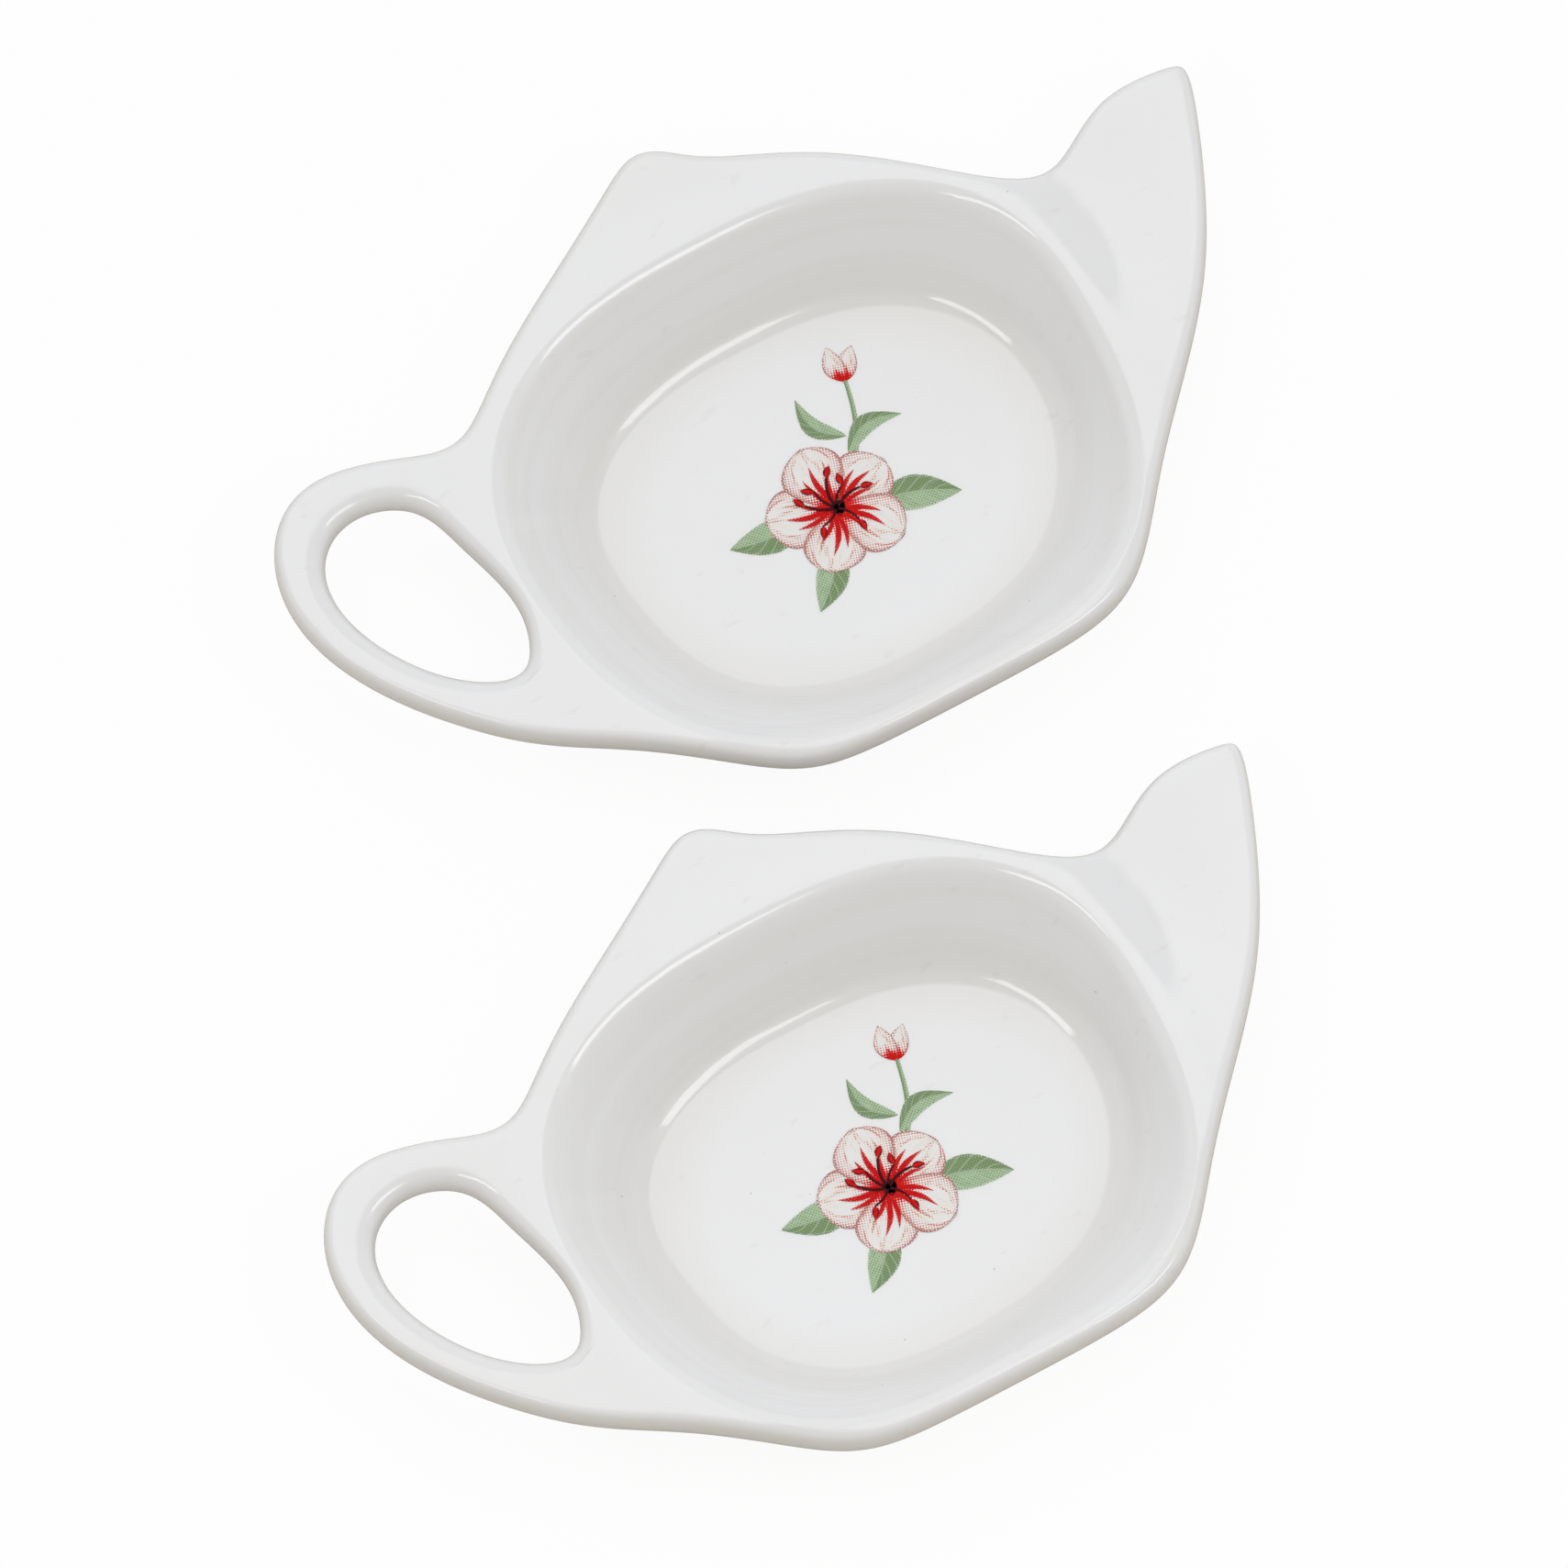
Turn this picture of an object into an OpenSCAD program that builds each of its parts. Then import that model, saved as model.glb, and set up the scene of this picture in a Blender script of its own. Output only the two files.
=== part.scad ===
// Two alike tea bag rests of glazed porcelain, each a shallow dish in the shape of a teapot,
// with a spray of blossom printed on the floor of its well.
// Each rest is drawn in its own frame: X runs from the handle to the spout, Y from the base
// to the lid knob, Z up, with the middle of the belly at the origin and the table at zero.

/* [Belly] */
// Length of the belly, from the handle's opening to the root of the spout
belly_l = 79; // [74:1:90]
// Width of the belly, from its base to the foot of the lid
belly_w = 68; // [62:1:78]
// How far the lid and its knob stand out beyond the belly
lid_reach = 11; // [8:0.5:15]

/* [Spout and handle] */
// How far the spout stands out beyond the belly
spout_reach = 23; // [19:0.5:28]
// How far the handle stands out beyond the belly
handle_reach = 23; // [20:0.5:28]
// Width of the handle's band at its far end
band_w = 5.4; // [5:0.1:7]
// Thickness of the spout at its tip
spout_tip_t = 3; // [2.4:0.1:3.6]
// Depth of the shallow hollow where the spout leaves the well
spout_hollow = 1.1; // [0:0.1:1.4]

/* [Rim] */
// Thickness of the rim and of the handle
rim_t = 4.2; // [3.6:0.1:4.6]
// How far the round of the rim's edge reaches inwards, seen from above
edge_r = 1.1; // [0.9:0.1:1.5]
// How far the rounder edge of the handle's opening reaches inwards
opening_r = 2.3; // [1.5:0.1:2.4]
// Width of the rim where it is narrowest
lip_w = 1.6; // [1.6:0.1:2.6]
// How far the rim falls on its way from the well to its outer edge
rim_fall = 0.5; // [0:0.1:1]

/* [Well] */
// Depth of the well below the rim
well_depth = 10; // [8:0.5:12]
// How far the wall of the well runs inwards on its way down
wall_run = 11; // [10.4:0.2:12]
// How far the floor lies towards the spout from the middle of the well
floor_to_spout = 1.3; // [0:0.1:1.6]
// How far the floor lies towards the base from the middle of the well
floor_to_base = 1.2; // [0:0.1:1.6]
// Radius of the hollow round between floor and wall
fillet_r = 5.2; // [4:0.1:5.5]
// Slope in degrees at which that round rises from the floor
toe_slope = 12; // [4:1:16]
// Radius of the round between wall and rim
shoulder_r = 3.8; // [3:0.1:4.5]
// Slope in degrees at which that round leaves the crest of the rim
crest_slope = 13; // [4:1:16]
// Thickness of the porcelain under the floor and round the well
bowl_t = 3.4; // [2.8:0.1:4]

/* [Foot] */
// Width of the ring that the rest stands on
foot_w = 3; // [2.2:0.1:4]
// Depth of the hollow inside that ring
foot_hollow = 1; // [0.6:0.1:1.6]

/* [Print] */
// Clear floor between the wall and the nearest tip of the print
print_margin = 3.5; // [2:0.5:8]
// Width of the stem
stem_w = 0.8; // [0.6:0.1:1.2]
// Thickness of one layer of ink
ink_t = 0.1; // [0.05:0.05:0.2]

/* [Pair] */
// How far the back rest stands towards the spout from the front rest
pair_shift = 39; // [30:0.5:48]
// How far the knob of the front rest stands past the base line of the back rest
pair_overlap = 2.5; // [-10:0.5:3]

/* [Hidden] */

rest_w = belly_w + lid_reach;
rest_l = handle_reach + belly_l + spout_reach;
rim_top = foot_hollow + bowl_t + well_depth;
floor_z = foot_hollow + bowl_t;
mouth_half = [belly_l / 2 - lip_w, belly_w / 2 - lip_w];
floor_half = mouth_half - [wall_run, wall_run];
foot_round = foot_hollow / 2;
fall_share = 0.7;
fall_reach = lid_reach * fall_share;
tip_round_share = 0.4;
opening_blend_share = 0.2;
probe_share = 0.01;

// Steps of the loft between two stations of the outline, round each fillet and round the edge
side_steps = 3;
root_steps = 3;
arc_steps = 3;
plate_shares = [0, 0.1, 0.27, 0.52, 0.78];
edge_steps = 6;
band_steps = 19;

// Mouth and floor of the well against an ellipse: their reach at every 30 degrees, from the
// spout round by the lid
mouth_shares = [0.98, 1.05, 1.03, 0.975, 1.035, 1.05, 0.995, 1.03, 1.06, 1, 1.08, 1.025];
floor_shares = [1, 1.04, 1.04, 1, 1.08, 1.09, 1, 1.03, 1.05, 1, 1.02, 1];

// The outline from the lower root of the handle round base, spout and lid to its upper root.
// In X and Y a share of 1 is the edge of the belly, and 2 is the tip of what stands out beyond
// it. The third value is the bearing, in degrees, of the place on the well that faces the point.
body_shares = [
    [-1.24, -0.4, -165], [-0.92, -0.58, -148], [-0.695, -0.795, -135], [-0.49, -0.95, -121],
    [-0.21, -0.99, -103], [0.12, -1, -83], [0.42, -0.99, -64], [0.64, -0.88, -49],
    [0.85, -0.61, -33], [1.155, -0.32, -20], [1.52, -0.035, -9], [1.785, 0.275, 0],
    [1.95, 0.525, 8], [1.98, 0.63, 12], [1.87, 0.665, 16], [1.57, 0.675, 21],
    [1.3, 0.6, 26], [1.08, 0.545, 31], [0.9, 0.62, 37], [0.705, 0.825, 46],
    [0.47, 1.11, 59], [0.235, 1.55, 73], [0.12, 1.87, 82], [0.02, 1.99, 90],
    [-0.11, 1.77, 98], [-0.335, 1.315, 112], [-0.62, 0.91, 128], [-0.805, 0.755, 138],
    [-0.93, 0.715, 144], [-1.12, 0.775, 150]
];
// The outline of the handle from its upper root to its lower root
handle_shares = [
    [-1.34, 0.825], [-1.58, 0.84], [-1.83, 0.755], [-1.99, 0.54], [-1.965, 0.27],
    [-1.775, 0], [-1.51, -0.23]
];
// The opening of the handle, from its upper root down along the belly and back up. In X a share
// of 0 is the edge of the belly, and 1 is the inner side of the band.
opening_shares = [
    [0.225, 0.575], [0.105, 0.41], [0.025, 0.235], [0, 0.065], [0.09, -0.075],
    [0.29, -0.13], [0.685, 0.01], [0.985, 0.31], [0.925, 0.56], [0.58, 0.655]
];
opening_turn = 5;

// Control values of a smooth closed curve that passes through the given ones
function controls(through, c, n = 12) =
    let (now = is_undef(c) ? through : c, m = len(through))
    n == 0 ? now : controls(through, [for (i = [0 : m - 1])
        now[i] + through[i] - (now[(i + m - 1) % m] + 4 * now[i] + now[(i + 1) % m]) / 6], n - 1);

// Point of that curve at place s, counted in its stations
function curve(c, s) =
    let (m = len(c), k = floor(s), t = s - k, i = (k % m + m) % m)
    (pow(1 - t, 3) * c[(i + m - 1) % m] + (3 * pow(t, 3) - 6 * pow(t, 2) + 4) * c[i]
        + (-3 * pow(t, 3) + 3 * pow(t, 2) + 3 * t + 1) * c[(i + 1) % m]
        + pow(t, 3) * c[(i + 2) % m]) / 6;

// Unit vector to the left of the curve's way, which is into the porcelain
function inward(c, s) =
    let (d = curve(c, s + probe_share) - curve(c, s - probe_share)) [-d.y, d.x] / norm(d);

function mix(a, b, share) = a + (b - a) * share;
function beyond(share, half, reach) =
    abs(share) <= 1 ? share * half : sign(share) * (half + (abs(share) - 1) * reach);
function placed(p) = [
    beyond(p.x, belly_l / 2, p.x < 0 ? handle_reach : spout_reach),
    beyond(p.y, belly_w / 2, lid_reach)
];

outline = controls([for (p = concat(body_shares, handle_shares)) placed(p)]);
opening = controls([for (p = opening_shares)
    [-belly_l / 2 - p.x * (handle_reach - band_w), p.y * belly_w / 2]]);
mouth_reach = controls(mouth_shares);
floor_reach = controls(floor_shares);
floor_middle = [floor_to_spout, -floor_to_base];

// Places on the mouth and on the edge of the floor, at a bearing
function ellipse(half, bearing) = [half.x * cos(bearing), half.y * sin(bearing)];
function on_mouth(bearing) = curve(mouth_reach, bearing / 30) * ellipse(mouth_half, bearing);
function on_floor(bearing) =
    floor_middle + curve(floor_reach, bearing / 30) * ellipse(floor_half, bearing);

// How far a place lies out along the spout, from 0 at the belly to 1 at the tip
function spout_share(p) = min(1, max(0, (p.x - belly_l / 2) / spout_reach));

// The rim falls by this much at a distance from the mouth, softly at both ends
function soft(share) = share < 0 ? 0 : share > 1 ? 1 : share * share * (3 - 2 * share);
function fall(d) = rim_fall * soft(d / fall_reach);

// The hollow of the spout at a place: its middle and its reach are shares of spout and belly
hollow_middle_shares = [0.2, 0.15];
hollow_reach_shares = [0.5, 0.24];
hollow_middle = [
    belly_l / 2 + spout_reach * hollow_middle_shares.x, belly_w * hollow_middle_shares.y
];
hollow_reach = [spout_reach * hollow_reach_shares.x, belly_w * hollow_reach_shares.y];
function hollow_at(p) =
    let (q = p - hollow_middle, d = norm([q.x / hollow_reach.x, q.y / hollow_reach.y]))
    d < 1 ? spout_hollow * pow(1 - d * d, 2) : 0;
function hollow_on(p, crest) = hollow_at(p) * soft(norm(p - crest) / fall_reach);

// A column of the loft stands on: where the rounded edge begins, the step from there out to
// its furthest point, its thickness, its bearing on the well and the height of its top.
// The edge of the opening grows rounder on its way out along the handle.
function edge_at(c, s, round_r = edge_r) =
    let (p = curve(c, s), n = inward(c, s), thin = pow(spout_share(p), 2),
        out = (-belly_l / 2 - p.x) / (handle_reach * opening_blend_share),
        r = mix(mix(edge_r, round_r, soft(out)), spout_tip_t * tip_round_share, thin))
    [p + n * r, -n * r, mix(rim_t, spout_tip_t, thin)];
function with_bearing(e, bearing) =
    let (crest = on_mouth(bearing))
    concat(e, [bearing, rim_top - fall(norm(e[0] - crest)) - hollow_on(e[0], crest)]);
function edge_column(c, s, bearing, round_r = edge_r) =
    with_bearing(edge_at(c, s, round_r), bearing);
function root_column(a, b, share, bearing) =
    with_bearing([mix(a[0], b[0], share), [0, 0], rim_t], bearing);

body_n = len(body_shares) - 1;
handle_n = len(handle_shares) + 1;
upper_outer = edge_column(outline, body_n, body_shares[body_n][2]);
lower_outer = edge_column(outline, 0, body_shares[0][2] + 360);
root_n = 2 * root_steps + opening_turn * side_steps;
function root_bearing(k) = mix(upper_outer[3], lower_outer[3], k / root_n);
upper_inner = edge_column(opening, 0, root_bearing(root_steps), opening_r);
lower_inner = edge_column(opening, opening_turn, root_bearing(root_n - root_steps), opening_r);

columns = concat(
    [for (k = [0 : body_n * side_steps])
        let (s = k / side_steps, i = min(floor(s), body_n - 1))
        edge_column(outline, s, mix(body_shares[i][2], body_shares[i + 1][2], s - i))],
    [for (k = [1 : root_steps - 1])
        root_column(upper_outer, upper_inner, k / root_steps, root_bearing(k))],
    [for (k = [0 : opening_turn * side_steps])
        edge_column(opening, k / side_steps, root_bearing(root_steps + k), opening_r)],
    [for (k = [1 : root_steps - 1])
        root_column(lower_inner, lower_outer, k / root_steps,
            root_bearing(root_n - root_steps + k))]
);

// Slope of the wall that touches both rounds, over a run and a depth, where the rounds begin
// at slopes of their own
function wall_slope(run, depth) =
    let (r = fillet_r + shoulder_r,
        x = run + fillet_r * sin(toe_slope) + shoulder_r * sin(crest_slope),
        y = depth - fillet_r * cos(toe_slope) - shoulder_r * cos(crest_slope))
    atan2(y, x) + asin(r / norm([x, y]));

// Rounded edge from its top to its underside
function edge_points(e) = [for (k = [0 : edge_steps])
    let (a = 90 - 180 * k / edge_steps, p = e[0] + e[1] * cos(a))
    [p.x, p.y, e[4] - e[2] / 2 * (1 - sin(a))]];

// Under the rim the bowl's wall leaves it at a share of the way from mouth to edge, and the
// corner there is cut off by a share of each side. The foot ring's corners are cut off by
// shares of its round.
root_share = 0.2;
flat_cut_share = 0.4;
steep_cut_share = 0.12;
foot_cut_shares = [0.6, 1.6, 0.4, 1.5];

// One column of points, from the floor over the wall, the rim and the edge to the foot
function column_points(e) =
    let (crest = on_mouth(e[3]),
        toe = on_floor(e[3]),
        way = (crest - toe) / norm(crest - toe),
        b = wall_slope(norm(crest - toe), well_depth),
        under = e[4] - e[2],
        root = mix(crest, e[0], root_share),
        heel = toe + way * bowl_t)
    concat(
        [for (k = [0 : arc_steps])
            let (a = mix(toe_slope, b, k / arc_steps),
                p = toe + way * fillet_r * (sin(a) - sin(toe_slope)))
            [p.x, p.y, floor_z + fillet_r * (cos(toe_slope) - cos(a))]],
        [for (k = [0 : arc_steps - 1])
            let (a = mix(b, crest_slope, k / arc_steps),
                p = crest - way * shoulder_r * (sin(a) - sin(crest_slope)))
            [p.x, p.y, rim_top - shoulder_r * (cos(crest_slope) - cos(a))]],
        [for (share = plate_shares) let (p = mix(crest, e[0], share))
            [p.x, p.y, rim_top - fall(norm(p - crest)) - hollow_on(p, crest)]],
        edge_points(e),
        [for (p = [mix(root, e[0], flat_cut_share)]) [p.x, p.y, under]],
        [for (p = [mix(root, heel, steep_cut_share)]) [p.x, p.y, under * (1 - steep_cut_share)]],
        [for (q = [
            [foot_round * foot_cut_shares[0], foot_round * foot_cut_shares[1]],
            [0, foot_round * foot_cut_shares[2]],
            [-foot_round, 0],
            [foot_round - foot_w, 0],
            [-foot_w, foot_round * foot_cut_shares[2]],
            [-foot_w - foot_round * foot_cut_shares[3], foot_hollow]
        ]) let (p = heel + way * q[0]) [p.x, p.y, q[1]]]
    );

// Ring of points round the handle's band, at a share of its way from upper to lower root
function band_points(share) =
    let (top = rim_top - rim_fall, under = top - rim_t,
        o = concat(edge_at(outline, body_n + handle_n * share), [0, top]),
        i = concat(edge_at(opening, len(opening_shares) - opening_turn * share, opening_r),
            [0, top]))
    concat(
        [for (k = [0 : root_steps]) let (p = mix(o[0], i[0], k / root_steps)) [p.x, p.y, top]],
        [for (k = [1 : edge_steps - 1]) edge_points(i)[k]],
        [for (k = [0 : root_steps]) let (p = mix(i[0], o[0], k / root_steps)) [p.x, p.y, under]],
        [for (k = [1 : edge_steps - 1]) edge_points(o)[edge_steps - k]]
    );

col_n = len(columns);
body_points = [for (e = columns) column_points(e)];
row_n = len(body_points[0]);
edge_row = 2 * arc_steps + 1 + len(plate_shares);
ring_n = 2 * (root_steps + edge_steps);
upper_col = body_n * side_steps;
lower_col = col_n - root_steps;

function at(row, col) = (col % col_n) * row_n + row;
function quad(a, b, c, d) = [[a, b, c], [a, c, d]];

// The same ring on the body where the handle grows out of it, outer side first
function root_ring(outer, step) = concat(
    [for (k = [0 : root_steps]) at(edge_row, outer + step * k)],
    [for (k = [1 : edge_steps - 1]) at(edge_row + k, outer + step * root_steps)],
    [for (k = [0 : root_steps]) at(edge_row + edge_steps, outer + step * (root_steps - k))],
    [for (k = [1 : edge_steps - 1]) at(edge_row + edge_steps - k, outer)]
);
function ring_at(k) =
    k == 0 ? root_ring(upper_col, 1)
    : k == band_steps ? root_ring(col_n, -1)
    : [for (q = [0 : ring_n - 1]) col_n * row_n + (k - 1) * ring_n + q];

function in_root(row, col) = row >= edge_row && row < edge_row + edge_steps
    && (col >= upper_col && col < upper_col + root_steps || col >= lower_col);

module dish_body() {
    rings = [for (k = [0 : band_steps]) ring_at(k)];
    polyhedron(
        points = concat(
            [for (c = body_points) each c],
            [for (k = [1 : band_steps - 1]) each band_points(k / band_steps)]
        ),
        faces = concat(
            [[for (i = [col_n - 1 : -1 : 0]) at(0, i)]],
            [[for (i = [0 : col_n - 1]) at(row_n - 1, i)]],
            [for (i = [0 : col_n - 1], r = [0 : row_n - 2]) if (!in_root(r, i))
                each quad(at(r, i), at(r, i + 1), at(r + 1, i + 1), at(r + 1, i))],
            [for (k = [0 : band_steps - 1], q = [0 : ring_n - 1]) let (p = (q + 1) % ring_n)
                each quad(rings[k][q], rings[k][p], rings[k + 1][p], rings[k + 1][q])]
        )
    );
}

// The print: a blossom of five petals and a bud on one bowed stem with leaves. Its sizes follow
// from the petal's reach. Places are shares of that reach from the middle of the blossom,
// directions are in degrees.
petal_share = 0.48;
petal_l = (floor_half.y - print_margin) * petal_share;
petal_w_share = 0.94;
petal_w = petal_l * petal_w_share;
leaf_size_shares = [1.18, 0.54];
leaf_l = petal_l * leaf_size_shares.x;
leaf_w = petal_l * leaf_size_shares.y;
print_middle_shares = [0.06, -0.3];
petal_turns = [18, 90, 162, 234, 306];
petal_full_share = 0.68;
leaf_full_share = 0.42;
bud_place_shares = [1.08, 1.6];
bud_turn = 68;
bud_l_share = 0.56;
bud_w_share = 0.4;
stem_shares = [[0.25, 0.1], [0.7, 0.6], [0.95, 1.1], [1.08, 1.6]];
// Each leaf: its place, its direction and its size against the largest leaf
leaf_shares = [
    [0.5, -0.2, -22, 1], [-0.3, -0.45, 228, 0.86], [0.55, 0.62, 12, 0.8],
    [0.72, 0.9, 122, 0.72], [-0.45, 0.1, 176, 0.92]
];
// Each fleck on a petal: its start and its length as shares of the petal's reach
fleck_shares = [0.32, 0.48];
fleck_w_share = 0.13;
fleck_turns = [-15, 15];
// Each stamen: its direction in degrees and its length as a share of the petal's reach
stamen_shares = [
    [16, 0.46], [54, 0.38], [90, 0.5], [128, 0.4], [162, 0.46], [228, 0.4], [305, 0.42]
];
stamen_w_share = 0.07;
anther_l_share = 0.13;
anther_w_share = 0.1;
heart_w_share = 0.2;
blade_steps = 6;

// Flat shape along X with a point at each end, widest at a share of its length
function swell(t, full) = t < full ? sin(90 * t / full) : cos(90 * (t - full) / (1 - full));
module blade(l, w, full, steps = blade_steps) {
    polygon(concat(
        [for (k = [0 : steps]) let (t = k / steps) [l * t, -w / 2 * swell(t, full)]],
        [for (k = [steps - 1 : -1 : 1]) let (t = k / steps) [l * t, w / 2 * swell(t, full)]]
    ));
}

module petals() {
    for (turn = petal_turns) rotate(turn) blade(petal_l, petal_w, petal_full_share);
    translate(petal_l * bud_place_shares) rotate(bud_turn)
        blade(petal_l * bud_l_share, petal_l * bud_w_share, leaf_full_share);
}
module stem() {
    for (i = [0 : len(stem_shares) - 2]) hull() {
        translate(petal_l * stem_shares[i]) circle(d = stem_w, $fn = 8);
        translate(petal_l * stem_shares[i + 1]) circle(d = stem_w, $fn = 8);
    }
}
module leaves() {
    difference() {
        union() {
            stem();
            for (leaf = leaf_shares) translate(petal_l * [leaf[0], leaf[1]]) rotate(leaf[2])
                blade(leaf_l * leaf[3], leaf_w * leaf[3], leaf_full_share);
        }
        petals();
    }
}
module stamens() {
    circle(d = petal_l * heart_w_share, $fn = 12);
    for (stamen = stamen_shares) rotate(stamen[0]) {
        blade(petal_l * stamen[1], petal_l * stamen_w_share, leaf_full_share, 2);
        translate([petal_l * (stamen[1] - anther_l_share / 2), 0])
            blade(petal_l * anther_l_share, petal_l * anther_w_share, leaf_full_share, 3);
    }
}
module flecks() {
    difference() {
        for (turn = petal_turns, side = fleck_turns) rotate(turn + side)
            translate([petal_l * fleck_shares[0], 0])
                blade(petal_l * fleck_shares[1], petal_l * fleck_w_share, leaf_full_share, 3);
        stamens();
    }
}

// One layer of ink on the floor, the first or the second
module ink(layer) {
    translate([petal_l * print_middle_shares.x, petal_l * print_middle_shares.y,
        floor_z + ink_t * layer])
        linear_extrude(height = ink_t) children();
}

// The pair stands with the middle of its plan at the origin
pair_step = [pair_shift, rest_w - pair_overlap];
outline_x = [for (k = [0 : side_steps * len(outline) - 1]) curve(outline, k / side_steps).x];
outline_y = [for (k = [0 : side_steps * len(outline) - 1]) curve(outline, k / side_steps).y];
outline_middle = [min(outline_x) + max(outline_x), min(outline_y) + max(outline_y)] / 2;
module place(side) {
    translate(side * pair_step / 2 - outline_middle) children();
}

module back_dish() { color("whitesmoke") place(1) dish_body(); }
module back_leaf_ink() { color("darkseagreen") place(1) ink(0) leaves(); }
module back_petal_ink() { color("mistyrose") place(1) ink(0) petals(); }
module back_vein_ink() { color("indianred") place(1) ink(1) flecks(); }
module back_stamen_ink() { color("maroon") place(1) ink(1) stamens(); }
module front_dish() { color("whitesmoke") place(-1) dish_body(); }
module front_leaf_ink() { color("darkseagreen") place(-1) ink(0) leaves(); }
module front_petal_ink() { color("mistyrose") place(-1) ink(0) petals(); }
module front_vein_ink() { color("indianred") place(-1) ink(1) flecks(); }
module front_stamen_ink() { color("maroon") place(-1) ink(1) stamens(); }

back_dish();
back_leaf_ink();
back_petal_ink();
back_vein_ink();
back_stamen_ink();
front_dish();
front_leaf_ink();
front_petal_ink();
front_vein_ink();
front_stamen_ink();
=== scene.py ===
# %% [markdown]
# # Two tea bag rests in white porcelain
# A tea bag rest is a shallow dish that catches the drips of a used tea bag. This one has the
# outline of a teapot: belly, spout, lid plate and an open handle, all cast in one piece, dipped
# in clear glaze and fired. A sprig is printed on the floor of the well.
# The CAD model gives every shape and size. The scene gives it the soft skin of glaze, the print,
# a light table and the light of a small studio.

# %% Load the fixed frame
import math
import bmesh
import bpy
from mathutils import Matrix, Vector


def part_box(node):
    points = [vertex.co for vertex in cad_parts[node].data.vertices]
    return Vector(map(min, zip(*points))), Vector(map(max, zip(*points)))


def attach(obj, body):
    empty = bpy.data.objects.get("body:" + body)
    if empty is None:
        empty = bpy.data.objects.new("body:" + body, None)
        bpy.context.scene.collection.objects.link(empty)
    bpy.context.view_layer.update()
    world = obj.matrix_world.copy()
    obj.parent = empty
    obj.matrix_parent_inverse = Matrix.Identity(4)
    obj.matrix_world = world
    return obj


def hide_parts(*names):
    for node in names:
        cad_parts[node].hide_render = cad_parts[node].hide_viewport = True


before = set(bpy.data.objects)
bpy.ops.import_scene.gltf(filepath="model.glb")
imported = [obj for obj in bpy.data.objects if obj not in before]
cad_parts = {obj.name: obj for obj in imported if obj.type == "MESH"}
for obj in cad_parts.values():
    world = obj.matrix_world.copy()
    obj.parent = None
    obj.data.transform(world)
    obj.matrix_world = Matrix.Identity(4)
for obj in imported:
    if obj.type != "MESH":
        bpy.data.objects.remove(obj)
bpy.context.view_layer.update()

# %% [markdown]
# ## Small helpers
# Blender's operators act on whatever is selected, so each step first says what that is. Four
# helpers keep that in one place: one selects objects, one the parts of a mesh in edit mode, one
# copies an object with a mesh of its own, and one applies what its modifiers do.

# %% Helpers for selecting and copying
MM = 0.001


def choose(*objects):
    """Select just these objects, the first of them active."""
    bpy.ops.object.select_all(action="DESELECT")
    for obj in objects:
        obj.select_set(True)
    bpy.context.view_layer.objects.active = objects[0]


def pick(kind, test):
    """In edit mode, select just the faces or vertices that pass a test."""
    bpy.ops.mesh.select_mode(type="FACE" if kind == "faces" else "VERT")
    bpy.ops.mesh.select_all(action="DESELECT")
    mesh = bmesh.from_edit_mesh(bpy.context.edit_object.data)
    for element in getattr(mesh, kind):
        if test(element):
            element.select_set(True)
    mesh.select_flush_mode()
    bmesh.update_edit_mesh(bpy.context.edit_object.data)


def copy_of(source, name, move=(0, 0, 0)):
    """A free copy of an object, moved in its own mesh."""
    piece = source.copy()
    piece.data = source.data.copy()
    piece.name = piece.data.name = name
    piece.parent = None
    for key in [key for key in piece.keys() if key.startswith("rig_")]:
        del piece[key]
    bpy.context.scene.collection.objects.link(piece)
    choose(piece)
    bpy.ops.transform.translate(value=move)
    bpy.ops.object.transform_apply(location=True, rotation=True, scale=True)
    return piece


def apply_modifiers(piece):
    """Turn what the modifiers of an object show into its mesh."""
    choose(piece)
    for modifier in list(piece.modifiers):
        bpy.ops.object.modifier_apply(modifier=modifier.name)


# %% [markdown]
# ## The porcelain body
# Slip-cast porcelain has no straight line and no sharp edge: the glaze pulls every corner round.
# The CAD dish has the right shape but flat facets. A copy of it is merged, its triangles are
# joined to quads and subdivided, which rounds it without changing its size. The floor and the
# recess under it are large faces with many corners, and those would pucker when subdivided, so
# both are first rebuilt as rings of quads that close in the middle.

# %% Rebuild the flat faces of a dish
RING_SIZES = [0.97, 0.9, 0.72, 0.4]
FLAT = 0.999
FACE_LEVEL_ERROR = 0.02 * MM


def rebuild_flat(height, up, crease):
    """In edit mode, replace the flat face at a height by rings round its middle."""
    pick("faces", lambda f: f.normal.z * up > FLAT
         and abs(f.calc_center_median().z - height) < FACE_LEVEL_ERROR)
    bpy.ops.mesh.delete(type="FACE")
    bpy.ops.mesh.select_mode(type="VERT")
    bpy.ops.mesh.select_non_manifold()
    mesh = bmesh.from_edit_mesh(bpy.context.edit_object.data)
    rim = [v.co.copy() for v in mesh.verts if v.select]
    low = Vector(min(v[i] for v in rim) for i in range(3))
    high = Vector(max(v[i] for v in rim) for i in range(3))
    middle = (low + high) / 2
    bpy.ops.transform.edge_crease(value=crease)
    done = 1
    for ring in RING_SIZES:
        bpy.ops.mesh.extrude_edges_move()
        bpy.ops.transform.resize(value=(ring / done, ring / done, 1), center_override=middle)
        done = ring
    bpy.ops.mesh.extrude_edges_move()
    bpy.ops.mesh.merge(type="CENTER")
    return low, high


# %% [markdown]
# ### Two flat faces made anew
# Deleting a face leaves a hole whose border is easy to select, because it is the only part of
# the mesh that isn't closed. Extruding that border and shrinking it makes one ring of quads. After
# four rings a last one is merged to a point, which closes the hole again. A crease is a number on
# an edge that tells subdivision how sharp to stay. The border of the floor gets one all round and
# more of it on the far side. The crest of the rim gets one on the near side, towards the camera.

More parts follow.
